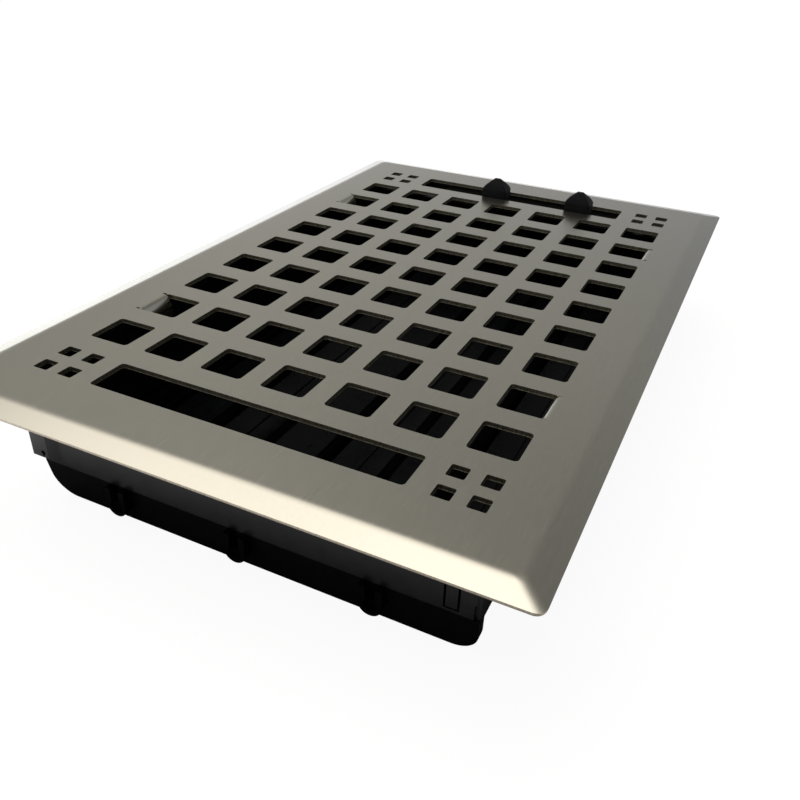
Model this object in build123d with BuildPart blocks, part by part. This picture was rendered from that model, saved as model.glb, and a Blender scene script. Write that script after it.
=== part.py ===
from build123d import *
from math import asin, cos, degrees, pi, radians, sin
import os

# Floor register: a steel faceplate over a plastic louvered damper that hangs in the duct.
# X runs across the register, Y along it (the knobs are at +Y), Z up from the tub's underside, which it stands on.
# The damper is modelled closed, as it lies at rest. All sizes are in millimetres.

# Faceplate
sheet = 1.6             # sheet steel thickness
face_width = 187.3
face_length = 292.1
rim_run = 6.8           # width of the sloped rim, seen from above
rim_drop = 1.6          # how far the rim's top surface falls
rim_bend = 12.0         # radius of the bend where the rim starts
face_corner = 4.5       # plan radius of the outer corners
flat_corner = 2.5       # plan radius of the flat's corners
columns = 7
rows = 9
column_pitch = 21.6
row_pitch = 23.1
hole = 14.6             # side of a square hole
hole_corner = 0.8       # cut across the corners of the holes and slots
slot_width = 101.0      # the long slot at each end
slot_height = 14.0
small_square = 5.2      # side of the small squares in each corner

# Sheet tabs that hold the damper
tab_length = 14.0       # reach below the top of the sheet
tab_bend = 0.8          # inside bend radius
tab_relief = 0.8        # width of the relief slit on each side
tab_column = 3          # column and row of the holes that carry a tab, counted from the middle
tab_row = 3
window_width = 6.0      # window in the tab, for the nub on the damper's wall
window_height = 3.6
window_depth = 9.8      # middle of the window below the top of the sheet

# Damper shell
wall = 1.8              # plastic wall
frame_height = 32.0
tub_height = 14.2
frame_corner = 1.5
tub_round = 8.0         # radius under the tub's long sides
end_slope = 2.6         # how far the tub's ends slope inwards
side_inset = 4.5        # the tub's long sides, in from the frame's
flange = 1.8            # thickness of the tub's flange under the frame's long sides
nub_fit = 0.3           # clearance round a nub in its window
shell_fit = 0.2         # clearance between the plastic and the sheet metal

# Louver blades
blade_count = 3
blade_pitch = 44.0
blade_overlap = 1.6     # how far neighbouring lips overlap when closed
blade_root = 2.4        # thickness beside the tube
blade_tip = 1.6         # thickness at the lips
tube_radius = 3.2
pivot_height = 7.8      # pivot above the tub's underside
pin_radius = 2.0
pin_fit = 0.05          # radial running clearance of a pivot pin
rib_place = 12.5        # stiffening rib, measured from the pivot
rib_height = 0.5
rib_width = 0.9
lip_gap = 0.3

# Cranks and slide bar
crank_radius = 14.0
crank_turn = 90.0       # degrees from closed to open
crank_thick = 2.4
hub_radius = 4.4
crank_tip = 3.0
square_stub = 4.4
crank_pin = 1.5         # radius
fork_clear = 0.6        # clearance of a crank pin in its fork
fork_thick = 2.0
fork_jaw = 2.4
bar_thick = 3.0
bar_gap = 0.4           # clearance between the bar and the sheet
run_gap = 0.4           # clearance between moving faces
fork_inset = 1.8        # from the frame's end wall to the forks

# Knobs
knob_width = 12.4
knob_depth = 9.0
knob_spacing = 42.0
knob_side = 3.9         # height of the straight sides above the face
knob_height = 8.2       # height of the peak above the face
knob_inset = 8.7        # from the frame's end wall to the knob's middle
knob_bevel = 0.9        # cut down the knob's four corners
peak_width = 2.8
peak_depth = 2.4
post_width = 7.0
post_depth = 4.4
post_height = 6.5

# Bearing clips
clip_width = 7.2
clip_lip = 2.3          # outer plate of a clip
clip_fit = 0.05
jaw_gap = 3.2
notch_strip = 2.5       # what is left of the tub's end above a clip

# Guide rails and snap tongues of the frame
rail_height = 4.0
rail_thick = 2.6
rail_gap = 0.3
rail_ledge = 1.4
tongue_width = 3.4
tongue_length = 9.0
tongue_place = 7.9      # from the frame's outer corner to the middle of the tongue
groove = 0.6            # width of the cut round a tongue
tongue_lift = 1.4       # free end of the tongue above the seam
lug_width = 6.0
lug_thick = 1.2
catch_size = 1.6
corner_slit = 5.1       # height of the slit beside each corner, up from the seam
pad_out = 1.9           # the pads round two opposite corners, which centre the damper in the duct
pad_face = 6.5          # width of a pad's end face
pad_slope = 3.5         # how far its side slopes back to the end wall
pad_wrap = 6.0          # reach round the corner
pad_chamfer = 1.4
pad_lift = 1.4          # foot of a pad above the seam
key_radius = 0.8        # keyhole in the pad's end face
key_slot = 0.5
key_height = 3.2        # middle of the keyhole above the pad's foot

# Levels
seam_z = tub_height
under_z = seam_z + frame_height
top_z = under_z + sheet
pivot_z = pivot_height

# Plan places that follow from the grille
column_x = tab_column * column_pitch
edge_x = column_x + hole / 2
tab_y = tab_row * row_pitch
slot_y = (rows + 1) / 2 * row_pitch
square_pitch = hole - small_square
inner_x = edge_x + shell_fit
inner_y = slot_y + slot_height / 2 + shell_fit
tray_x = inner_x - side_inset
box_width = 2 * (inner_x + wall)
box_length = 2 * (inner_y + wall)

# Places along the drive end, from the end wall inwards
fork_y = inner_y - fork_inset
crank_y = fork_y - fork_thick - run_gap
blade_y = crank_y - crank_thick
pin_end = box_length / 2 + clip_lip - 0.4
bar_y = inner_y - run_gap
knob_y = inner_y - knob_inset
bar_inner = knob_y - post_depth / 2 - 1.6
reach = (blade_pitch + blade_overlap) / 2
plate_reach = (blade_pitch - blade_overlap) / 2 - lip_gap
pivots = [(i - (blade_count - 1) / 2) * blade_pitch for i in range(blade_count)]
lean = crank_turn / 2
bar_rest = crank_radius * sin(radians(lean))
bar_travel = 2 * bar_rest
pin_rise = crank_radius * cos(radians(lean))
bar_top = under_z - bar_gap
bar_z = bar_top - bar_thick
rail_z = bar_z - rail_gap
fork_slot = 2 * (crank_pin + fork_clear)

os.makedirs("parts", exist_ok=True)


def at_y(y):
    # a drawing plane that faces -Y, with local x along X and local y along Z
    return Plane(origin=(0, y, 0), x_dir=(1, 0, 0), z_dir=(0, -1, 0))


# Sheet tabs, bent down from the outer edge of four holes, each with a window for the damper's nub
root_x = edge_x + tab_bend
with BuildPart() as tabs:
    for sy in (-1, 1):
        with BuildSketch(at_y(sy * tab_y)):
            for sx in (-1, 1):
                with BuildLine():
                    Polyline(
                        (sx * root_x, under_z),
                        (sx * (root_x + 2 * tab_relief), under_z),
                        (sx * (root_x + 2 * tab_relief), top_z),
                        (sx * root_x, top_z),
                    )
                    RadiusArc(
                        (sx * root_x, top_z),
                        (sx * (edge_x - sheet), top_z - tab_bend - sheet),
                        -sx * (tab_bend + sheet),
                    )
                    Polyline(
                        (sx * (edge_x - sheet), top_z - tab_bend - sheet),
                        (sx * (edge_x - sheet), top_z - tab_length),
                        (sx * edge_x, top_z - tab_length),
                        (sx * edge_x, under_z - tab_bend),
                    )
                    RadiusArc(
                        (sx * edge_x, under_z - tab_bend),
                        (sx * root_x, under_z),
                        sx * tab_bend,
                    )
                make_face()
        extrude(amount=hole / 2 - tab_relief, both=True)
    with BuildSketch(Plane.YZ):
        with Locations((tab_y, top_z - window_depth), (-tab_y, top_z - window_depth)):
            Rectangle(window_width, window_height)
    extrude(amount=edge_x + 0.1, both=True, mode=Mode.SUBTRACT)

with BuildSketch() as one_hole:
    Rectangle(hole, hole)
    chamfer(one_hole.vertices(), length=hole_corner)
with BuildSketch() as one_slot:
    Rectangle(slot_width, slot_height)
    chamfer(one_slot.vertices(), length=hole_corner)

# Faceplate: the sheet with its sloped rim, pierced by the grille
with BuildPart() as faceplate:
    with BuildSketch(Plane.XY.offset(top_z - rim_drop - sheet)):
        RectangleRounded(face_width, face_length, face_corner)
    extrude(amount=sheet)
    with BuildSketch(Plane.XY.offset(top_z - rim_drop)):
        RectangleRounded(face_width, face_length, face_corner)
    with BuildSketch(Plane.XY.offset(top_z)):
        RectangleRounded(face_width - 2 * rim_run, face_length - 2 * rim_run, flat_corner)
    loft(ruled=True)
    crown = faceplate.faces().sort_by(Axis.Z)[-1]
    fillet(crown.edges(), radius=rim_bend)
    with BuildSketch(Plane.XY.offset(under_z - rim_drop)):
        RectangleRounded(face_width, face_length, face_corner)
    with BuildSketch(Plane.XY.offset(under_z)):
        RectangleRounded(face_width - 2 * rim_run, face_length - 2 * rim_run, flat_corner)
    loft(ruled=True, mode=Mode.SUBTRACT)
    with BuildSketch(Plane.XY.offset(under_z)):
        with GridLocations(column_pitch, row_pitch, columns, rows):
            add(one_hole.sketch)
        with Locations((0, slot_y), (0, -slot_y)):
            add(one_slot.sketch)
        for sx in (-1, 1):
            for sy in (-1, 1):
                with Locations((sx * column_x, sy * slot_y)):
                    with GridLocations(square_pitch, square_pitch, 2, 2):
                        Rectangle(small_square, small_square)
                # relief beside the root of each tab
                with Locations((sx * (edge_x + tab_bend / 2), sy * tab_y)):
                    Rectangle(tab_bend + 2 * tab_relief, hole)
    extrude(amount=sheet, mode=Mode.SUBTRACT)
    add(tabs.part)
faceplate.part.label = "faceplate"
export_step(faceplate.part, "parts/faceplate.step")

# Damper frame: a ring under the sheet, with nubs for the tabs, guide rails for the bar and snap tongues
with BuildPart() as damper_frame:
    with BuildSketch(Plane.XY.offset(seam_z)):
        RectangleRounded(box_width, box_length, frame_corner)
    extrude(amount=frame_height)
    # pads round the near left corner and the corner opposite
    pad_x = box_width / 2 + pad_out
    pad_y = box_length / 2 + clip_lip
    pad_foot = seam_z + pad_lift
    for side in (-1, 1):
        with BuildSketch(Plane.XY.offset(pad_foot)):
            with BuildLine():
                Polyline(
                    (side * pad_x, side * (box_length / 2 - pad_wrap)),
                    (side * pad_x, side * pad_y),
                    (side * (pad_x - pad_face), side * pad_y),
                    (side * (pad_x - pad_face - pad_slope), side * (inner_y + wall / 2)),
                    (side * (inner_x + wall / 2), side * (inner_y + wall / 2)),
                    (side * (inner_x + wall / 2), side * (box_length / 2 - pad_wrap)),
                    close=True,
                )
            make_face()
        extrude(amount=under_z - pad_foot)
        with BuildSketch(Plane.YZ):
            with BuildLine():
                Polyline(
                    (side * pad_y, pad_foot),
                    (side * (pad_y - pad_chamfer), pad_foot),
                    (side * pad_y, pad_foot + pad_chamfer),
                    close=True,
                )
            make_face()
        extrude(amount=pad_x, both=True, mode=Mode.SUBTRACT)
        key_x = side * (pad_x - pad_face * 0.7)
        with BuildSketch(at_y(side * pad_y)):
            with Locations((key_x, pad_foot + key_height)):
                Circle(key_radius)
            with Locations((key_x, pad_foot + key_height / 2)):
                Rectangle(key_slot, key_height)
        extrude(amount=side * clip_lip * 0.8, mode=Mode.SUBTRACT)
    with BuildSketch(Plane.XY.offset(seam_z)):
        Rectangle(2 * inner_x, 2 * inner_y)
    extrude(amount=frame_height, mode=Mode.SUBTRACT)
    for sx in (-1, 1):
        for sy in (-1, 1):
            with BuildSketch(at_y(sy * tab_y)):
                with BuildLine():
                    Polyline(
                        (sx * (inner_x + wall / 2), top_z - window_depth + window_height / 2 - nub_fit),
                        (sx * (edge_x - sheet + 0.2), top_z - window_depth + window_height / 2 - nub_fit),
                        (sx * (edge_x - 0.1), top_z - window_depth - window_height / 2 + nub_fit),
                        (sx * (inner_x + wall / 2), top_z - window_depth - window_height / 2 + nub_fit),
                        close=True,
                    )
                make_face()
            extrude(amount=window_width / 2 - nub_fit, both=True)
    # room for the bend of each tab in the ring's top edge
    with BuildSketch(Plane.XY.offset(under_z)):
        for sx in (-1, 1):
            for sy in (-1, 1):
                with Locations((sx * inner_x, sy * tab_y)):
                    Rectangle(2 * (tab_bend - shell_fit + 0.2), hole)
    extrude(amount=-(tab_bend - 0.2), mode=Mode.SUBTRACT)
    # cross rail under the inner edge of the bar, and a ledge on the end wall under its outer edge
    with BuildSketch(Plane.YZ):
        with Locations((bar_inner - 0.4, rail_z - rail_height / 2)):
            Rectangle(rail_thick, rail_height)
    extrude(amount=inner_x + wall / 2, both=True)
    with BuildSketch(Plane.YZ) as ledge:
        with BuildLine():
            Polyline(
                (inner_y + wall / 2, rail_z),
                (inner_y - rail_ledge, rail_z),
                (inner_y - rail_ledge, rail_z - 1.0),
                (inner_y, rail_z - 1.0 - rail_ledge),
                (inner_y + wall / 2, rail_z - 1.0 - rail_ledge),
                close=True,
            )
        make_face()
    extrude(amount=inner_x + wall / 2, both=True)
    # snap tongues at the other two corners: a U-shaped cut round each, a slit beside it, and a catch inside
    tongue_x = box_width / 2 - tongue_place
    tongue_z = seam_z + tongue_lift
    for side in (-1, 1):
        with BuildSketch(at_y(-side * inner_y)):
            with Locations((side * tongue_x, tongue_z + tongue_length / 2 - groove / 2)):
                Rectangle(tongue_width + 2 * groove, tongue_length + groove)
            with Locations((side * tongue_x, tongue_z + tongue_length / 2)):
                Rectangle(tongue_width, tongue_length, mode=Mode.SUBTRACT)
        extrude(amount=wall, both=True, mode=Mode.SUBTRACT)
        with BuildSketch(at_y(-side * box_length / 2)):
            with Locations((side * (inner_x + wall / 2 - 0.2), seam_z + corner_slit / 2)):
                Rectangle(groove + 0.2, corner_slit)
        extrude(amount=-side * wall / 2, mode=Mode.SUBTRACT)
        with BuildSketch(Plane.YZ.offset(side * tongue_x)):
            with BuildLine():
                Polyline(
                    (-side * (inner_y + wall / 2), tongue_z + catch_size),
                    (-side * (inner_y - lug_thick), tongue_z + catch_size),
                    (-side * (inner_y - 0.1), tongue_z),
                    (-side * (inner_y + wall / 2), tongue_z),
                    close=True,
                )
            make_face()
        extrude(amount=tongue_width / 2 - 0.2, both=True)
damper_frame.part.label = "damper_frame"
export_step(damper_frame.part, "parts/damper_frame.step")

# Damper tub: a tray on a flange, its long sides set in, between two end plates that slope and have round corners
with BuildPart() as tub_hollow:
    with BuildSketch(Plane.XZ):
        with Locations((0, (wall + seam_z + 1) / 2)):
            Rectangle(2 * tray_x, seam_z + 1 - wall)
    extrude(amount=box_length / 2, both=True)
    fillet(
        tub_hollow.edges().filter_by(Axis.Y).group_by(Axis.Z)[0],
        radius=tub_round - wall,
    )
    with BuildSketch(Plane.YZ):
        with BuildLine():
            Polyline(
                (-inner_y, seam_z + 1),
                (-inner_y, seam_z),
                (-(inner_y - end_slope), 0),
                (inner_y - end_slope, 0),
                (inner_y, seam_z),
                (inner_y, seam_z + 1),
                close=True,
            )
        make_face()
    extrude(amount=box_width / 2, both=True, mode=Mode.INTERSECT)

with BuildPart() as damper_tub:
    with BuildSketch(Plane.XZ):
        with Locations((0, tub_height / 2)):
            Rectangle(box_width, tub_height)
    extrude(amount=box_length / 2, both=True)
    fillet(
        damper_tub.edges().filter_by(Axis.Y).group_by(Axis.Z)[0],
        radius=tub_round,
    )
    with BuildSketch(Plane.YZ):
        with BuildLine():
            Polyline(
                (-box_length / 2, seam_z),
                (-(box_length / 2 - end_slope), 0),
                (box_length / 2 - end_slope, 0),
                (box_length / 2, seam_z),
                close=True,
            )
        make_face()
    extrude(amount=box_width / 2, both=True, mode=Mode.INTERSECT)
    # between the end plates the long sides stand in under the flange
    with BuildSketch(Plane.XY):
        with Locations((box_width / 2, 0), (-box_width / 2, 0)):
            Rectangle(2 * (box_width / 2 - tray_x - wall), 2 * (inner_y - end_slope))
    extrude(amount=tub_height - flange, mode=Mode.SUBTRACT)
    add(tub_hollow.part, mode=Mode.SUBTRACT)
    # the window that the blades swing through
    with BuildSketch(Plane.XY):
        Rectangle(2 * (pivots[-1] + reach + 0.6), 2 * (crank_y + run_gap))
    extrude(amount=pivot_z, mode=Mode.SUBTRACT)
    # windows for the bearing clips
    with BuildSketch(Plane.XZ):
        with Locations(*[(x, (pivot_z + seam_z - notch_strip) / 2) for x in pivots]):
            Rectangle(clip_width + 2 * clip_fit, seam_z - notch_strip - pivot_z)
        with Locations(*[(x, pivot_z) for x in pivots]):
            Circle(clip_width / 2 + clip_fit)
    extrude(amount=box_length / 2, both=True, mode=Mode.SUBTRACT)
    # ledges that the outermost lips close against, one from above and one from below
    ledge_x = pivots[-1] + reach - blade_overlap / 2
    with BuildSketch(Plane.XZ):
        with BuildLine():
            Polyline(
                (-ledge_x, pivot_z + lip_gap),
                (-ledge_x, pivot_z + lip_gap + 1.4),
                (-(tray_x + wall / 2), pivot_z + lip_gap + 1.4),
                (-(tray_x + wall / 2), pivot_z + lip_gap),
                close=True,
            )
        make_face()
        with BuildLine():
            Polyline(
                (ledge_x, pivot_z - lip_gap),
                (ledge_x, pivot_z - lip_gap - 1.4),
                (tray_x + wall / 2, pivot_z - lip_gap - 1.4),
                (tray_x + wall / 2, pivot_z - lip_gap),
                close=True,
            )
        make_face()
    extrude(amount=blade_y, both=True)
    # lips that locate the frame, and a lug with a window behind each tongue
    for sx in (-1, 1):
        with BuildSketch(Plane.XZ):
            with BuildLine():
                Polyline(
                    (sx * (inner_x + wall / 2), seam_z - 1.6),
                    (sx * (inner_x + wall / 2), seam_z),
                    (sx * (inner_x - shell_fit), seam_z),
                    (sx * (inner_x - shell_fit), seam_z + 2.6),
                    (sx * (inner_x - shell_fit - 1.2), seam_z + 2.6),
                    (sx * (inner_x - shell_fit - 1.2), seam_z - 0.6),
                    close=True,
                )
            make_face()
        extrude(amount=blade_y - lug_width, both=True)
        with BuildSketch(Plane.YZ.offset(sx * tongue_x)):
            with BuildLine():
                Polyline(
                    (-sx * (inner_y + wall / 2), seam_z - 1.6),
                    (-sx * (inner_y + wall / 2), seam_z),
                    (-sx * (inner_y - shell_fit), seam_z),
                    (-sx * (inner_y - shell_fit), tongue_z + tongue_length),
                    (-sx * (inner_y - shell_fit - lug_thick), tongue_z + tongue_length),
                    (-sx * (inner_y - shell_fit - lug_thick), seam_z - 1.0),
                    close=True,
                )
            make_face()
        extrude(amount=lug_width / 2, both=True)
        with BuildSketch(at_y(-sx * inner_y)):
            with Locations((sx * tongue_x, tongue_z + catch_size / 2)):
                Rectangle(tongue_width + 0.4, catch_size + 2 * shell_fit)
        extrude(amount=-sx * 3 * lug_thick, mode=Mode.SUBTRACT)
damper_tub.part.label = "damper_tub"
export_step(damper_tub.part, "parts/damper_tub.step")

# Bearing clips: a block in each window with a plate outside, with a bore for the pivot pin and two jaws above it
names = ["left", "middle", "right"]
for end, sy in (("near", -1), ("far", 1)):
    for name, x in zip(names, pivots):
        with BuildPart() as clip:
            inner_face = crank_y + run_gap
            body_depth = box_length / 2 - inner_face
            with BuildSketch(at_y(sy * inner_face)):
                with Locations((x, (pivot_z + seam_z - notch_strip - clip_fit) / 2)):
                    Rectangle(clip_width, seam_z - notch_strip - clip_fit - pivot_z)
                with Locations((x, pivot_z)):
                    Circle(clip_width / 2)
            extrude(amount=-sy * body_depth)
            with BuildSketch(at_y(sy * (box_length / 2 + clip_fit))):
                with Locations((x, (pivot_z + seam_z - lip_gap) / 2)):
                    Rectangle(clip_width, seam_z - lip_gap - pivot_z)
                with Locations((x, pivot_z)):
                    Circle(clip_width / 2)
            extrude(amount=-sy * clip_lip)
            with BuildSketch(at_y(sy * (box_length / 2))):
                with Locations((x, pivot_z)):
                    Circle(clip_width / 2)
            extrude(amount=-sy * clip_fit)
            with BuildSketch(Plane.XZ):
                with Locations((x, pivot_z)):
                    Circle(pin_radius + pin_fit)
                with Locations((x, pivot_z + seam_z / 2)):
                    Rectangle(jaw_gap, seam_z)
            extrude(amount=-sy * (box_length / 2 + 2 * clip_lip), mode=Mode.SUBTRACT)
        clip.part.label = f"clip_{end}_{name}"
        export_step(clip.part, f"parts/clip_{end}_{name}.step")

# Louver blades: a plate with a round tube along its pivot and a half-thickness lip on each edge
for name, x in zip(names, pivots):
    with BuildPart() as blade:
        with BuildSketch(Plane.XZ):
            with Locations((x, pivot_z)):
                Circle(tube_radius)
            with BuildLine():
                Polyline(
                    (x, pivot_z + blade_root / 2),
                    (x + plate_reach, pivot_z + blade_tip / 2),
                    (x + reach, pivot_z + blade_tip / 2),
                    (x + reach, pivot_z + lip_gap / 2),
                    (x + plate_reach, pivot_z + lip_gap / 2),
                    (x + plate_reach, pivot_z - blade_tip / 2),
                    (x, pivot_z - blade_root / 2),
                    (x - plate_reach, pivot_z - blade_tip / 2),
                    (x - reach, pivot_z - blade_tip / 2),
                    (x - reach, pivot_z - lip_gap / 2),
                    (x - plate_reach, pivot_z - lip_gap / 2),
                    (x - plate_reach, pivot_z + blade_tip / 2),
                    close=True,
                )
            make_face()
            with Locations((x + rib_place, pivot_z + blade_tip / 2 + rib_height / 2)):
                Rectangle(rib_width, rib_height + 0.3)
        extrude(amount=blade_y, both=True)
        with BuildSketch(at_y(blade_y)):
            with Locations((x, pivot_z)):
                Rectangle(square_stub, square_stub)
        extrude(amount=-crank_thick)
        with BuildSketch(Plane.XZ):
            with Locations((x, pivot_z)):
                Circle(pin_radius)
        extrude(amount=pin_end, both=True)
    blade.part.label = f"blade_{name}"
    export_step(blade.part, f"parts/blade_{name}.step")

    # Crank arm on the blade's square stub, leaning towards +X while the damper is closed
    with BuildPart() as crank:
        with BuildSketch(at_y(blade_y)):
            with Locations((x, pivot_z)):
                Circle(hub_radius)
            with Locations((x + bar_rest, pivot_z + pin_rise)):
                Circle(crank_tip)
            make_hull()
            with Locations((x, pivot_z)):
                Rectangle(square_stub, square_stub, mode=Mode.SUBTRACT)
        extrude(amount=-crank_thick)
        with BuildSketch(at_y(crank_y)):
            with Locations((x + bar_rest, pivot_z + pin_rise)):
                Circle(crank_pin)
        extrude(amount=-(fork_thick + run_gap + 0.3))
    crank.part.label = f"crank_{name}"
    export_step(crank.part, f"parts/crank_{name}.step")

# Slide bar: a flat beam under the sheet with a fork hanging over each crank pin
with BuildPart() as slide_bar:
    half = pivots[-1] + fork_slot / 2 + fork_jaw
    with BuildSketch(Plane.XY.offset(bar_z)):
        with Locations((bar_rest, (bar_inner + bar_y) / 2)):
            Rectangle(2 * half, bar_y - bar_inner)
    extrude(amount=bar_thick)
    with BuildSketch(at_y(fork_y)):
        for x in pivots:
            fork_foot = pivot_z + pin_rise - crank_pin - 0.8
            with Locations((x + bar_rest, (fork_foot + bar_z) / 2)):
                Rectangle(fork_slot + 2 * fork_jaw, bar_z - fork_foot)
            slot_top = pivot_z + crank_radius + crank_pin + 0.8
            with Locations((x + bar_rest, (fork_foot + slot_top) / 2)):
                Rectangle(fork_slot, slot_top - fork_foot, mode=Mode.SUBTRACT)
    extrude(amount=fork_thick)
    with BuildSketch(Plane.XY.offset(bar_top)):
        with Locations((bar_rest, knob_y)):
            with GridLocations(knob_spacing, 1, 2, 1):
                Rectangle(post_width, post_depth)
    extrude(amount=post_height)
slide_bar.part.label = "slide_bar"
export_step(slide_bar.part, "parts/slide_bar.step")

# Thumb knobs: straight sides, then four slopes to a blunt peak, hollow over the bar's post
for name, sx in (("left", -1), ("right", 1)):
    x = bar_rest + sx * knob_spacing / 2
    with BuildPart() as knob:
        with BuildSketch(Plane.XY.offset(bar_top)) as plan:
            with Locations((x, knob_y)):
                Rectangle(knob_width, knob_depth)
            chamfer(plan.vertices(), length=knob_bevel)
        extrude(amount=top_z + knob_height - bar_top)
        # the four slopes, cut across and then along the bar
        for plane, middle, half, peak in (
            (Plane.XZ, x, knob_width / 2, peak_width / 2),
            (Plane.YZ, knob_y, knob_depth / 2, peak_depth / 2),
        ):
            with BuildSketch(plane):
                for side in (-1, 1):
                    with BuildLine():
                        Polyline(
                            (middle + side * half, top_z + knob_side),
                            (middle + side * half, top_z + knob_height),
                            (middle + side * peak, top_z + knob_height),
                            close=True,
                        )
                    make_face()
            extrude(amount=face_length, both=True, mode=Mode.SUBTRACT)
        with BuildSketch(Plane.XY.offset(bar_top)):
            with Locations((x, knob_y)):
                Rectangle(post_width, post_depth)
        extrude(amount=post_height, mode=Mode.SUBTRACT)
    knob.part.label = f"knob_{name}"
    export_step(knob.part, f"parts/knob_{name}.step")

print("face top", top_z, "box", box_width, box_length, "pivot", pivot_z, "bar travel", bar_travel)
print("radians per metre", radians(crank_turn) / bar_travel * 1000)
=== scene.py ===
import bpy
import bmesh
from math import atan2, cos, radians, sin, tan
from mathutils import Matrix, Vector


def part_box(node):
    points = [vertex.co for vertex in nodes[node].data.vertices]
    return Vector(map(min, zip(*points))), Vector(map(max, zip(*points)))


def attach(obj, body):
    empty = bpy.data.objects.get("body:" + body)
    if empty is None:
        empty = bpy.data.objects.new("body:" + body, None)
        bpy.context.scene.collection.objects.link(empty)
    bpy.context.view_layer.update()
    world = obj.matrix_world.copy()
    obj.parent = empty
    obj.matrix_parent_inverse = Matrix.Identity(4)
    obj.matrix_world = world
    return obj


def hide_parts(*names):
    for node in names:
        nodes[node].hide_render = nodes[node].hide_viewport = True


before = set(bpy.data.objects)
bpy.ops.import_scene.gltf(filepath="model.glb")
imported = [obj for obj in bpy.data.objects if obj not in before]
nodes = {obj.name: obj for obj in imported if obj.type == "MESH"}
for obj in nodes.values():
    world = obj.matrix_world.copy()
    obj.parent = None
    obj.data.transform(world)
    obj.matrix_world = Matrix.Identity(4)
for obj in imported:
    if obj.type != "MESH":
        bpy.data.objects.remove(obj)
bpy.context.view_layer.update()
mm = 0.001

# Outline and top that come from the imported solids
half_w, half_l, face_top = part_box("faceplate")[1]

# Sizes of the faceplate, in millimetres, as in the part's source
sheet = 1.6
column_pitch, row_pitch, hole = 21.6, 23.1, 14.6
columns, rows = range(-3, 4), range(-4, 5)    # counted from the middle hole
rim_run, rim_drop, rim_bend, bend_steps = 6.8, 1.6, 12.0, 5
rim_foot = face_top - (rim_drop + sheet) * mm    # in metres, as face_top is
slot_half, slot_y, slot_height = 50.5, 115.5, 14.0
small_square, square_pitch = 5.2, 9.4
tab_x, tab_y, tab_length = 64.8, 69.3, 14.0
tab_bend, tab_relief = 0.8, 0.8
window_depth, window_width, window_height = 9.8, 6.0, 3.6
border, rim_zone = 9.0, 5.0    # along each side: without an opening, and the rim alone
edge_x = tab_x + hole / 2
root_x = edge_x + tab_bend

# Sizes of the faceplate that only the dressed piece has, in millimetres
hole_corner, small_corner = 1.2, 0.45
flat_corner, corner_step, rim_corner = 2.2, 0.1, 2.9
rim_round, rim_face, sheet_ease = 0.8, 0.9, 0.16
tab_turns = ((2.0, 0, 60, 4), (11.0, 60, 90, 4))    # radius, angles and steps of the tab's sweep
tab_reach = 4.0    # from the edge of the hole over the whole sweep of its tab
burr_top, burr_line, burr_out = 1.32, 1.37, 0.06    # the burr at the foot of each punched wall

# Sizes of the knobs and blades, in millimetres
knob_shoulder, knob_corner = 3.4, 1.3
knob_steps = ((1.4, 0.86), (1.2, 0.66), (1.2, 0.42), (0.8, 0.22))    # rise, and width left at its top
socket_wall, socket_depth = 2.3, 6.5
knob_ease, moulded_ease, thin_ease = 0.25, 0.25, 0.2
blade_pitch, tube_half, strip_start = 44, 3.25, 19.8

# How far apart two places may lie and still count as one, in millimetres
near, nearer = 0.01, 0.001


# Edit-mode helpers

def clear():
    """Leaves edit mode, with nothing selected."""
    if bpy.context.object and bpy.context.object.mode != "OBJECT":
        bpy.ops.object.mode_set(mode="OBJECT")
    bpy.ops.object.select_all(action="DESELECT")


def take(obj):
    """Makes this object the one that is worked on."""
    clear()
    obj.select_set(True)
    bpy.context.view_layer.objects.active = obj


def begin(name):
    """The new primitive gets its name and is opened for editing."""
    obj = bpy.context.object
    obj.name = obj.data.name = name
    bpy.ops.object.mode_set(mode="EDIT")
    return obj


def pick(obj, kind, test):
    """Selects the vertices, edges or faces that pass the test, by their place."""
    bpy.ops.mesh.select_mode(type=kind)
    bpy.ops.mesh.select_all(action="DESELECT")
    bm = bmesh.from_edit_mesh(obj.data)
    if kind == "VERT":
        chosen = [v for v in bm.verts if test(v.co)]
    elif kind == "EDGE":
        chosen = [e for e in bm.edges if test((e.verts[0].co + e.verts[1].co) / 2, e)]
    else:
        chosen = [f for f in bm.faces if test(f.calc_center_median(), f.normal)]
    for item in chosen:
        item.select_set(True)
    bm.select_flush_mode()
    bmesh.update_edit_mesh(obj.data)
    return len(chosen)


def held(obj):
    """The chosen vertices, each with its number and place."""
    bm = bmesh.from_edit_mesh(obj.data)
    bm.verts.index_update()
    return [(v.index, v.co.copy()) for v in bm.verts if v.select]


def hold(obj, members):
    """Chooses these vertices again, by their numbers."""
    bpy.ops.mesh.select_mode(type="VERT")
    bpy.ops.mesh.select_all(action="DESELECT")
    bm = bmesh.from_edit_mesh(obj.data)
    bm.verts.ensure_lookup_table()
    for i, _ in members:
        bm.verts[i].select_set(True)
    bm.select_flush_mode()
    bmesh.update_edit_mesh(obj.data)


def assign(obj, slot, test):
    """Gives the faces that pass the test the material in this slot of the mesh."""
    obj.active_material_index = slot
    pick(obj, "FACE", test)
    bpy.ops.object.material_slot_assign()


def push(x=0.0, y=0.0, z=0.0):
    """Moves what is selected (millimetres)."""
    bpy.ops.transform.translate(value=(x * mm, y * mm, z * mm))


def cut(obj, point, normal, test=None):
    """Cuts the faces that pass the test along a plane (millimetres)."""
    if test is None:
        bpy.ops.mesh.select_all(action="SELECT")
    elif not pick(obj, "FACE", lambda c, n: test(c.x / mm, c.y / mm)):
        return
    bpy.ops.mesh.bisect(plane_co=[v * mm for v in point], plane_no=normal, threshold=1e-7)


def apply_modifier(obj, name, kind, **settings):
    take(obj)
    mod = obj.modifiers.new(name, kind)
    for key, value in settings.items():
        setattr(mod, key, value)
    bpy.ops.object.modifier_apply(modifier=mod.name)


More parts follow.
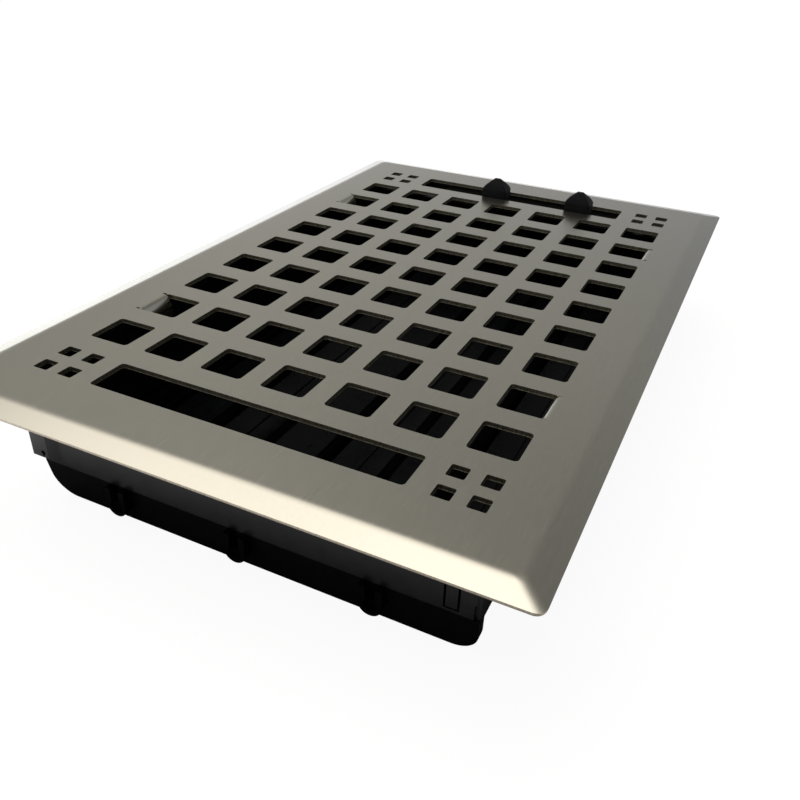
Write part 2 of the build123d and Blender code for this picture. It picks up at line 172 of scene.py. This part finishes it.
def round_edges(obj, width, angle):
    apply_modifier(obj, "round", "BEVEL", width=width * mm, segments=2,
                   limit_method="ANGLE", angle_limit=radians(angle), use_clamp_overlap=True)


def finish_piece(obj, body, material, replaced, angle):
    """Shades the piece, gives it its material and its body, and hides the nodes it stands for."""
    take(obj)
    bpy.ops.object.transform_apply(location=True, rotation=True, scale=True)
    bpy.ops.object.shade_smooth_by_angle(angle=radians(angle))
    apply_modifier(obj, "flat faces lead", "WEIGHTED_NORMAL", weight=100, keep_sharp=True)
    obj.data.materials.clear()
    obj.data.materials.append(material)
    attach(obj, body)
    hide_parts(*replaced)
    return obj


# Materials

def new_material(name):
    mat = bpy.data.materials.new(name)
    mat.use_nodes = True
    return mat, mat.node_tree, mat.node_tree.nodes["Principled BSDF"]


def coords(tree, scale=(1, 1, 1), place=(0, 0, 0)):
    spot = tree.nodes.new("ShaderNodeTexCoord")
    mapping = tree.nodes.new("ShaderNodeMapping")
    mapping.inputs["Scale"].default_value = scale
    mapping.inputs["Location"].default_value = place
    tree.links.new(spot.outputs["Object"], mapping.inputs["Vector"])
    return mapping.outputs["Vector"]


def noise(tree, vector, scale, detail, rough):
    n = tree.nodes.new("ShaderNodeTexNoise")
    n.inputs["Scale"].default_value = scale
    n.inputs["Detail"].default_value = detail
    n.inputs["Roughness"].default_value = rough
    tree.links.new(vector, n.inputs["Vector"])
    return n.outputs["Fac"]


def ramp(tree, value, stops):
    r = tree.nodes.new("ShaderNodeValToRGB")
    points = r.color_ramp.elements
    while len(points) < len(stops):
        points.new(0.5)
    for point, (place, colour) in zip(points, stops):
        point.position = place
        point.color = tuple(colour) + (1,)
    tree.links.new(value, r.inputs["Fac"])
    return r.outputs["Color"]


def spread(tree, value, low_to, high_to, low_from=0.3, high_from=0.7):
    m = tree.nodes.new("ShaderNodeMapRange")
    for name, number in (("From Min", low_from), ("From Max", high_from),
                         ("To Min", low_to), ("To Max", high_to)):
        m.inputs[name].default_value = number
    tree.links.new(value, m.inputs["Value"])
    return m.outputs["Result"]


def combine(tree, kind, a, b):
    m = tree.nodes.new("ShaderNodeMath")
    m.operation = kind
    for socket, value in zip(m.inputs, (a, b)):
        if isinstance(value, (int, float)):
            socket.default_value = value
        else:
            tree.links.new(value, socket)
    return m.outputs["Value"]


def layer(tree, first, second):
    """Six parts of the first pattern and four of the second."""
    return combine(tree, "ADD", combine(tree, "MULTIPLY", first, 0.6), combine(tree, "MULTIPLY", second, 0.4))


def axes(tree, kind):
    """The place's three numbers, on these coordinates."""
    spot = tree.nodes.new("ShaderNodeTexCoord")
    parts = tree.nodes.new("ShaderNodeSeparateXYZ")
    tree.links.new(spot.outputs[kind], parts.inputs["Vector"])
    return parts.outputs


def blend(tree, factor, first, second, output):
    """Mixes two shaders into the surface of the output."""
    mix = tree.nodes.new("ShaderNodeMixShader")
    tree.links.new(factor, mix.inputs["Fac"])
    tree.links.new(first, mix.inputs[1])
    tree.links.new(second, mix.inputs[2])
    tree.links.new(mix.outputs["Shader"], tree.nodes[output].inputs["Surface"])


def bump(tree, shader, height, strength, distance):
    b = tree.nodes.new("ShaderNodeBump")
    b.inputs["Strength"].default_value = strength
    b.inputs["Distance"].default_value = distance
    tree.links.new(height, b.inputs["Height"])
    tree.links.new(b.outputs["Normal"], shader.inputs["Normal"])


def brushed_nickel():
    mat, tree, shader = new_material("brushed nickel")
    shader.inputs["Metallic"].default_value = 1.0
    # hairlines that run along the register, a coarser set, and slow cloudy changes
    fine = noise(tree, coords(tree, (5000, 70, 5000)), 1.0, 2.0, 0.6)
    coarse = noise(tree, coords(tree, (1500, 190, 1500), (3, 1, 0)), 1.0, 2.0, 0.6)
    cloud = noise(tree, coords(tree, (14, 9, 14)), 1.0, 2.0, 0.5)
    grain = layer(tree, fine, coarse)
    tint = ramp(tree, grain, [
        (0.34, (0.602, 0.578, 0.482)), (0.5, (0.62, 0.596, 0.497)), (0.66, (0.638, 0.614, 0.512)),
    ])
    tree.links.new(tint, shader.inputs["Base Color"])
    rough = combine(tree, "ADD", spread(tree, grain, 0.205, 0.245), spread(tree, cloud, -0.01, 0.01))
    tree.links.new(rough, shader.inputs["Roughness"])
    bump(tree, shader, grain, 0.07, 0.00004)
    return mat


def cut_metal(name, dark, middle, light, rough):
    mat, tree, shader = new_material(name)
    shader.inputs["Metallic"].default_value = 1.0
    # short streaks down the wall, left by the punch, and dull specks
    streak = noise(tree, coords(tree, (2600, 2600, 260)), 1.0, 3.0, 0.7)
    speck = noise(tree, coords(tree, (1, 1, 1), (2, 5, 1)), 1500, 2.0, 0.6)
    both = layer(tree, streak, speck)
    tone = ramp(tree, both, [(0.36, dark), (0.5, middle), (0.66, light)])
    tree.links.new(tone, shader.inputs["Base Color"])
    tree.links.new(spread(tree, both, rough + 0.1, rough - 0.1), shader.inputs["Roughness"])
    bump(tree, shader, both, 0.5, 0.00005)
    return mat


def plastic(name, low_colour, high_colour, roughness, grain, strength, specular):
    mat, tree, shader = new_material(name)
    shader.inputs["Specular IOR Level"].default_value = specular
    mottle = noise(tree, coords(tree), 260, 4.0, 0.6)
    skin = noise(tree, coords(tree), grain, 3.0, 0.65)
    tree.links.new(ramp(tree, mottle, [(0.3, low_colour), (0.7, high_colour)]), shader.inputs["Base Color"])
    tree.links.new(spread(tree, mottle, roughness - 0.05, roughness + 0.05), shader.inputs["Roughness"])
    bump(tree, shader, skin, strength, 0.00008)
    return mat


nickel = brushed_nickel()
torn_metal = cut_metal("punched wall of the sheet",
                       (0.1, 0.09, 0.058), (0.2, 0.186, 0.125), (0.33, 0.305, 0.21), 0.55)
rim_metal = cut_metal("cut edge of the sheet",
                      (0.40, 0.34, 0.27), (0.56, 0.49, 0.40), (0.72, 0.65, 0.53), 0.45)
burr_metal = cut_metal("burr of the sheet",
                       (0.14, 0.13, 0.095), (0.21, 0.195, 0.145), (0.28, 0.26, 0.2), 0.5)
black_plastic = plastic("moulded black plastic",
                        (0.0028, 0.003, 0.003), (0.0045, 0.0048, 0.005), 0.32, 2600, 0.10, 0.55)
gloss_plastic = plastic("glossy black plastic",
                        (0.003, 0.0036, 0.004), (0.0046, 0.0054, 0.006), 0.3, 700, 0.03, 0.16)
deep_plastic = plastic("dull black plastic",
                       (0.0018, 0.0019, 0.0019), (0.003, 0.0032, 0.0032), 0.4, 1800, 0.12, 0.1)
clip_plastic = plastic("clip black plastic",
                       (0.001, 0.0011, 0.0011), (0.0018, 0.0019, 0.0019), 0.4, 1800, 0.1, 0.05)
# near black, with almost no reflection: painted shade, for the blades' strips and for the slide bar in the
# slot's shade
shade_painted_plastic = plastic("black plastic with painted shade",
                       (0.0003, 0.0003, 0.0003), (0.0006, 0.0006, 0.0006), 0.5, 1800, 0.1, 0.02)
knob_plastic = plastic("textured knob plastic",
                       (0.0034, 0.0038, 0.0038), (0.0065, 0.007, 0.007), 0.6, 3600, 0.3, 0.12)


# Faceplate: one flat sheet cut on the lines of the grille, with its rim and its tabs drawn out of its edges

def from_tab(y):
    """How far this place is from the middle line of the nearest tab (millimetres)."""
    return abs(abs(y) - tab_y)


def grille_middles():
    """The middle and the half size of each opening, and how much its corners are rounded (millimetres)."""
    found = []
    for i in columns:
        for j in rows:
            found.append((i * column_pitch, j * row_pitch, hole / 2, hole / 2, hole_corner))
    for s in (-1, 1):
        found.append((0, s * slot_y, slot_half, slot_height / 2, hole_corner))
        for a in (-1, 1):
            for b in (-1, 1):
                for c in (-1, 1):
                    x, y = a * tab_x + b * square_pitch / 2, s * slot_y + c * square_pitch / 2
                    found.append((x, y, small_square / 2, small_square / 2, small_corner))
    return found


def cut_grille(obj):
    """Cuts the sheet on the lines of the openings, takes them out and rounds their corners."""
    for i in columns:
        for a in (-1, 1):
            cut(obj, (i * column_pitch + a * hole / 2, 0, 0), (1, 0, 0))
    for j in rows:
        for a in (-1, 1):
            cut(obj, (0, j * row_pitch + a * hole / 2, 0), (0, 1, 0))
    rows_end = rows[-1] * row_pitch + hole / 2
    for s in (-1, 1):
        for a in (-1, 1):
            cut(obj, (0, s * slot_y + a * slot_height / 2, 0), (0, 1, 0),
                lambda x, y: abs(x) < slot_half and abs(y) > rows_end)
            for b in (-1, 1):
                edge = s * slot_y + a * square_pitch / 2 + b * small_square / 2
                cut(obj, (0, edge, 0), (0, 1, 0),
                    lambda x, y: tab_x - hole / 2 < abs(x) < edge_x and abs(y) > rows_end)
        for a in (-1, 1):
            cut(obj, (s * tab_x + a * (square_pitch - small_square) / 2, 0, 0), (1, 0, 0),
                lambda x, y: tab_x - hole / 2 < abs(x) < edge_x and abs(abs(y) - slot_y) < hole / 2)
    openings = grille_middles()
    pick(obj, "FACE", lambda c, n: any(
        abs(c.x / mm - x) < w and abs(c.y / mm - y) < h for x, y, w, h, r in openings))
    bpy.ops.mesh.delete(type="FACE")
    for size, steps in ((hole_corner, 4), (small_corner, 2)):
        # the corners where a tab leaves its hole stay sharp
        corners = [(x + a * w, y + b * h) for x, y, w, h, r in openings for a in (-1, 1) for b in (-1, 1)
                   if r == size and not (abs(x) == tab_x and from_tab(y) < 1 and a * x > 0)]
        pick(obj, "VERT", lambda c: any(
            abs(c.x / mm - x) < near and abs(c.y / mm - y) < near for x, y in corners))
        bpy.ops.mesh.bevel(offset=size * mm, segments=steps, affect="VERTICES", profile=0.5)


def draw_rim(obj, place, radius, goal, goal_radius):
    """Draws the sheet's outer edge on to a new outline; place and goal are (inset from the rim, drop)."""
    w, l = half_w / mm - place[0], half_l / mm - place[0]
    w1, l1 = half_w / mm - goal[0], half_l / mm - goal[0]
    pick(obj, "EDGE", lambda c, e: e.is_boundary and (
        abs(c.x / mm) > w - near or abs(c.y / mm) > l - near
        or (abs(c.x / mm) > w - radius - near and abs(c.y / mm) > l - radius - near)))
    bpy.ops.mesh.extrude_edges_move()
    ring = held(obj)
    groups = {}
    for i, co in ring:
        sx = 0 if abs(co.x / mm) < w - radius - nearer else (1 if co.x > 0 else -1)
        sy = 0 if abs(co.y / mm) < l - radius - nearer else (1 if co.y > 0 else -1)
        groups.setdefault((sx, sy), []).append((i, co))
    for (sx, sy), members in groups.items():
        hold(obj, members)
        if sx and sy:
            push(sx * (w1 - goal_radius - w + radius), sy * (l1 - goal_radius - l + radius),
                 place[1] - goal[1])
            size = goal_radius / radius
            middle = (sx * (w1 - goal_radius) * mm, sy * (l1 - goal_radius) * mm, face_top - goal[1] * mm)
            bpy.ops.transform.resize(value=(size, size, 1), center_override=middle)
        else:
            push(sx * (w1 - w), sy * (l1 - l), place[1] - goal[1])


def draw_tabs(obj):
    """Slits beside each tab, then the tab drawn round its bend and down, with its window."""
    slit_x = root_x + 2 * tab_relief - tab_bend

    def beside(x, y):
        return edge_x < abs(x) and from_tab(y) < hole / 2

    for s in (-1, 1):
        for x in (root_x, slit_x):
            cut(obj, (s * x, 0, 0), (1, 0, 0), lambda x, y: beside(x, y) and x * s > 0)
        for a in (-1, 1):
            for place in (hole / 2 - tab_relief, window_width / 2):
                cut(obj, (0, s * tab_y + a * place, 0), (0, 1, 0),
                    lambda x, y: beside(x, y) and y * s > 0 and abs(x) < slit_x)

    def waste(c, n):
        x, y = abs(c.x / mm), from_tab(c.y / mm)
        slit = y > hole / 2 - tab_relief and x < slit_x
        return edge_x < x and y < hole / 2 and (slit or x < root_x)

    pick(obj, "FACE", waste)
    bpy.ops.mesh.delete(type="FACE")
    places = [(root_x, 0.0)]
    for radius, start, end, steps in tab_turns:
        x, drop = places[-1]
        for i in range(1, steps + 1):
            a, b = radians(start), radians(start + (end - start) * i / steps)
            places.append((x - radius * (sin(b) - sin(a)), drop + radius * (cos(a) - cos(b))))
    for drop in (window_depth - window_height / 2, window_depth + window_height / 2, tab_length):
        places.append((places[-1][0], drop))
    pick(obj, "EDGE", lambda c, e: e.is_boundary and abs(abs(c.x / mm) - root_x) < near
         and from_tab(c.y / mm) < hole / 2 - tab_relief)
    for before, after in zip(places, places[1:]):
        bpy.ops.mesh.select_mode(type="EDGE")
        bpy.ops.mesh.extrude_edges_move()
        row = held(obj)
        for side in (-1, 1):
            hold(obj, [(i, co) for i, co in row if co.x * side > 0])
            push(side * (after[0] - before[0]), 0, before[1] - after[1])
        hold(obj, row)
    level = (face_top / mm - window_depth) * mm
    pick(obj, "FACE", lambda c, n: abs(c.z - level) < 0.1 * mm
         and from_tab(c.y / mm) < window_width / 2)
    bpy.ops.mesh.delete(type="FACE")


def make_faceplate():
    """The flat with its grille, the tabs, the rolled rim, the sheet's thickness and the burrs."""
    slope = atan2(rim_drop, rim_run)
    flat = rim_run + rim_bend * tan(slope / 2)
    clear()
    bpy.ops.mesh.primitive_plane_add(size=2 * mm, location=(0, 0, 0))
    obj = begin("faceplate_sheet")
    bpy.ops.mesh.select_all(action="SELECT")
    bpy.ops.transform.resize(value=(half_w / mm - flat, half_l / mm - flat, 1))
    push(0, 0, face_top / mm)
    cut_grille(obj)
    pick(obj, "VERT", lambda c: abs(c.x) > half_w - flat * mm - 1e-6 and abs(c.y) > half_l - flat * mm - 1e-6)
    bpy.ops.mesh.bevel(offset=flat_corner * mm, segments=6, affect="VERTICES", profile=0.5)
    draw_tabs(obj)
    place, radius = (flat, 0.0), flat_corner
    for i in range(1, bend_steps + 1):
        a = slope * i / bend_steps
        goal = (flat - rim_bend * sin(a), rim_bend * (1 - cos(a)))
        draw_rim(obj, place, radius, goal, radius + corner_step)
        place, radius = goal, radius + corner_step
    draw_rim(obj, place, radius, (0.0, rim_drop), rim_corner)
    apply_modifier(obj, "thickness", "SOLIDIFY", thickness=sheet * mm, offset=-1, use_even_offset=True)
    # the rim's cut edge is thin: its lower corner is rounded off
    bpy.ops.object.mode_set(mode="EDIT")
    pick(obj, "EDGE", lambda c, e: rim_foot - 0.1 * mm < c.z < rim_foot + 0.2 * mm
         and (abs(c.x) > half_w - rim_zone * mm or abs(c.y) > half_l - rim_zone * mm))
    bpy.ops.mesh.bevel(offset=rim_round * mm, segments=3, affect="EDGES", profile=0.5)
    bpy.ops.object.mode_set(mode="OBJECT")
    round_edges(obj, sheet_ease, 42)
    # a fine burr stands out at the foot of each punched wall
    ledge, line = face_top - burr_top * mm, face_top - burr_line * mm
    foot = face_top - (sheet - 0.1) * mm

    def inside(c):
        return abs(c.x) < half_w - border * mm and abs(c.y) < half_l - border * mm

    def wall(c, n):
        return abs(n.z) < 0.3 and foot < c.z < face_top - 0.1 * mm and inside(c)

    def burr(c, n):
        on_tab = abs(c.x) > (edge_x - tab_reach) * mm and from_tab(c.y / mm) < hole / 2 - tab_relief
        return n.z > -0.3 and foot < c.z < ledge and inside(c) and not on_tab

    def rim_edge(c, n):
        return n.z < 0.6 and rim_foot - 0.1 * mm < c.z \
            and (abs(c.x) > half_w - rim_face * mm or abs(c.y) > half_l - rim_face * mm)

    bpy.ops.object.mode_set(mode="EDIT")
    for level in (ledge, line):
        pick(obj, "FACE", wall)
        bpy.ops.mesh.bisect(plane_co=(0, 0, level), plane_no=(0, 0, 1), threshold=1e-7)
    pick(obj, "FACE", lambda c, n: wall(c, n) and c.z < line)
    bpy.ops.transform.shrink_fatten(value=burr_out * mm)
    bpy.ops.object.mode_set(mode="OBJECT")
    finish_piece(obj, "register", nickel, ("faceplate",), 40)
    for metal in (torn_metal, burr_metal, rim_metal):
        obj.data.materials.append(metal)
    bpy.ops.object.mode_set(mode="EDIT")
    assign(obj, 1, wall)
    assign(obj, 2, burr)
    assign(obj, 3, rim_edge)
    bpy.ops.object.mode_set(mode="OBJECT")


def make_knob(node):
    """A block drawn in step by step to a blunt peak, with rounded corners and a socket for the post below."""
    a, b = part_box(node)
    middle, size = (a + b) / 2, (b - a) / mm
    clear()
    bpy.ops.mesh.primitive_cube_add(size=1 * mm, location=(0, 0, 0))
    obj = begin(node + "_cap")
    bpy.ops.mesh.select_all(action="SELECT")
    shoulder = (face_top - a.z) / mm + knob_shoulder
    bpy.ops.transform.resize(value=(size.x, size.y, shoulder))
    bpy.ops.transform.translate(value=(middle.x, middle.y, a.z + shoulder / 2 * mm))
    pick(obj, "EDGE", lambda c, e: abs(e.verts[0].co.z - e.verts[1].co.z) > 1 * mm)
    bpy.ops.mesh.bevel(offset=knob_corner * mm, segments=3, affect="EDGES", profile=0.5)
    pick(obj, "FACE", lambda c, n: n.z > 0.9)
    full = 1.0
    for rise, share in knob_steps:
        bpy.ops.mesh.extrude_region_move()
        push(0, 0, rise)
        step = share / full
        bpy.ops.transform.resize(value=(step, step, 1), center_override=(middle.x, middle.y, 0))
        full = share
    pick(obj, "FACE", lambda c, n: n.z < -0.9)
    bpy.ops.mesh.inset(thickness=socket_wall * mm)
    bpy.ops.mesh.extrude_region_move()
    push(0, 0, socket_depth)
    bpy.ops.object.mode_set(mode="OBJECT")
    top = max(v.co.z for v in obj.data.vertices)
    bpy.ops.object.mode_set(mode="EDIT")
    pick(obj, "VERT", lambda c: c.z > top - 0.01 * mm)
    push(0, 0, (b.z - top) / mm)
    bpy.ops.object.mode_set(mode="OBJECT")
    round_edges(obj, knob_ease, 24)
    finish_piece(obj, "slider", knob_plastic, (node,), 60)


def paint_shade_strips(obj, pivot):
    """Paints shade on the tube and on the recessed strip along each edge of a blade: they get the near-black
    material, darker than the blade's flats, as painted shade.
    """
    obj.data.materials.append(shade_painted_plastic)
    take(obj)
    bpy.ops.object.mode_set(mode="EDIT")
    for side in (-1, 1):
        cut(obj, (pivot / mm + side * strip_start, 0, 0), (1, 0, 0))
    assign(obj, 1, lambda c, n: not tube_half * mm < abs(c.x - pivot) < strip_start * mm)
    bpy.ops.object.mode_set(mode="OBJECT")


def dress(node, body, material, width=thin_ease):
    """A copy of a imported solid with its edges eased, for a piece whose shape the solid already has."""
    take(nodes[node])
    bpy.ops.object.duplicate()
    obj = bpy.context.object
    for key in [k for k in obj.keys() if k.startswith("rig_")]:
        del obj[key]
    obj.parent = None
    obj = begin(node + "_moulded")
    bpy.ops.mesh.select_all(action="SELECT")
    bpy.ops.mesh.remove_doubles(threshold=1e-6)
    bpy.ops.mesh.dissolve_limited(angle_limit=radians(0.4))
    bpy.ops.object.mode_set(mode="OBJECT")
    round_edges(obj, width, 32)
    return finish_piece(obj, body, material, (node,), 38)


make_faceplate()
dress("damper_frame", "register", black_plastic, moulded_ease)
dress("damper_tub", "register", deep_plastic, moulded_ease)
for end in ("near", "far"):
    for side in ("left", "middle", "right"):
        dress(f"clip_{end}_{side}", "register", clip_plastic)
for side, place in (("left", -blade_pitch), ("middle", 0), ("right", blade_pitch)):
    blade = dress(f"blade_{side}", f"louver_{side}", gloss_plastic)
    paint_shade_strips(blade, place * mm)
    dress(f"crank_{side}", f"louver_{side}", black_plastic)
# the slide bar is black plastic, made near-black as painted shade for the dark inside the slot
dress("slide_bar", "slider", shade_painted_plastic)
for side in ("left", "right"):
    make_knob(f"knob_{side}")


# Camera at the photograph's place

def make_camera():
    focal, photo_width, sensor = 793.0, 800, 36.0    # the first two in pixels
    data = bpy.data.cameras.new("camera")
    data.sensor_width = sensor
    data.lens = focal / photo_width * sensor
    data.clip_start = 0.01
    cam = bpy.data.objects.new("camera", data)
    bpy.context.scene.collection.objects.link(cam)
    turn = Matrix((
        (0.899804, 0.434850, 0.035463),
        (0.254903, -0.458003, -0.851621),
        (-0.354085, 0.775332, -0.522957),
    )).transposed() @ Matrix.Diagonal((1, -1, -1))
    cam.matrix_world = Matrix.Translation((0.11287, -0.26330, 0.11899 + face_top)) @ turn.to_4x4()
    bpy.context.scene.camera = cam


# Floor and light

def make_floor():
    clear()
    bpy.ops.mesh.primitive_plane_add(size=8.0, location=(0, 0, 0))
    floor = bpy.context.object
    floor.name = "floor"
    mat, tree, shader = new_material("pale floor")
    shader.inputs["Base Color"].default_value = (0.14, 0.14, 0.14, 1)
    shader.inputs["Roughness"].default_value = 0.9
    shader.inputs["Specular IOR Level"].default_value = 0.0
    light = tree.nodes.new("ShaderNodeLightPath")
    seen = combine(tree, "MULTIPLY", light.outputs["Is Camera Ray"], 0.93)
    # painted reflection: the floor glows in reflections only; the glow is taken away beside the register as
    # painted shade, and is stronger away from it, most of all on the left
    place = axes(tree, "Object")
    across = combine(tree, "ADD", combine(tree, "ABSOLUTE", place["X"], 0.0), 0.05)
    along = combine(tree, "ABSOLUTE", place["Y"], 0.0)
    away = spread(tree, combine(tree, "MAXIMUM", across, along), 0.0, 0.95, 0.136, 0.185)
    tilt = combine(tree, "MULTIPLY", spread(tree, place["X"], 1.25, 0.4, -0.22, 0.10),
                   spread(tree, place["Y"], 1.6, 0.95, -0.15, 0.35))
    painted_glow = combine(tree, "MULTIPLY", light.outputs["Is Glossy Ray"], combine(tree, "MULTIPLY", away, tilt))
    shader.inputs["Emission Color"].default_value = (1, 1, 1, 1)
    tree.links.new(combine(tree, "ADD", seen, painted_glow), shader.inputs["Emission Strength"])
    # from below the floor lets the view through, so that the underside can be seen
    side = tree.nodes.new("ShaderNodeNewGeometry")
    clear_side = tree.nodes.new("ShaderNodeBsdfTransparent")
    blend(tree, side.outputs["Backfacing"], shader.outputs["BSDF"], clear_side.outputs["BSDF"],
          "Material Output")
    floor.data.materials.append(mat)


def make_light():
    """A pale horizon, a dim band above it and a wide soft light overhead; the camera sees plain white."""
    world = bpy.data.worlds.new("studio")
    bpy.context.scene.world = world
    world.use_nodes = True
    tree = world.node_tree
    back = tree.nodes["Background"]
    way = axes(tree, "Generated")

    def grey(v):
        return (v, v, v)

    height = spread(tree, way["Z"], 0.0, 1.0, -1.0, 1.0)
    band = ramp(tree, height, [
        (0.50, grey(1.0)), (0.526, grey(0.9)), (0.57, grey(0.47)), (0.604, grey(0.29)), (0.638, grey(0.25)),
        (0.671, grey(0.243)), (0.71, grey(0.248)), (0.75, grey(0.222)), (0.778, grey(0.19)),
        (0.808, grey(0.174)), (0.85, grey(0.15)), (1.0, grey(0.145)),
    ])
    side = combine(tree, "MINIMUM", spread(tree, way["X"], 1.75, 1.12, -0.8, 0.08),
                   spread(tree, way["X"], 1.25, 1.75, -0.75, -0.45))
    # the overhead light leans towards -X
    lean = combine(tree, "SUBTRACT", way["Z"], combine(tree, "MULTIPLY", way["X"], 0.35))
    overhead = combine(tree, "ADD", spread(tree, lean, 0.0, 1.38, 0.855, 0.91),
                       spread(tree, lean, 0.0, 0.3, 0.92, 1.0))
    # and it is strongest above the register's right side
    strong = combine(tree, "MULTIPLY", spread(tree, way["X"], 0.0, 0.22, -0.42, -0.15),
                     spread(tree, way["X"], 1.0, 0.0, 0.0, 0.3))
    overhead = combine(tree, "MULTIPLY", overhead, combine(tree, "ADD", strong, 1.0))
    glow = combine(tree, "MULTIPLY", spread(tree, way["Z"], 1.4, 0.0, 0.02, 0.14),
                   spread(tree, way["X"], 1.0, 0.0, -0.8, -0.5))
    low = combine(tree, "ADD", combine(tree, "MULTIPLY", band, side), glow)
    level = combine(tree, "MAXIMUM", low, overhead)
    light = tree.nodes.new("ShaderNodeLightPath")
    direct = combine(tree, "MAXIMUM", light.outputs["Is Camera Ray"], light.outputs["Is Transmission Ray"])
    hue = ramp(tree, lean, [
        (0.30, (0.95, 0.98, 1.08)), (0.44, (1, 1, 1)), (0.8, (1, 1, 1)), (0.9, (1.0, 0.96, 0.94)),
    ])
    tree.links.new(hue, back.inputs["Color"])
    tree.links.new(level, back.inputs["Strength"])
    white = tree.nodes.new("ShaderNodeBackground")
    white.inputs["Color"].default_value = (1, 1, 1, 1)
    blend(tree, direct, back.outputs["Background"], white.outputs["Background"], "World Output")
    bpy.context.scene.view_settings.view_transform = "Standard"


make_camera()
make_floor()
make_light()
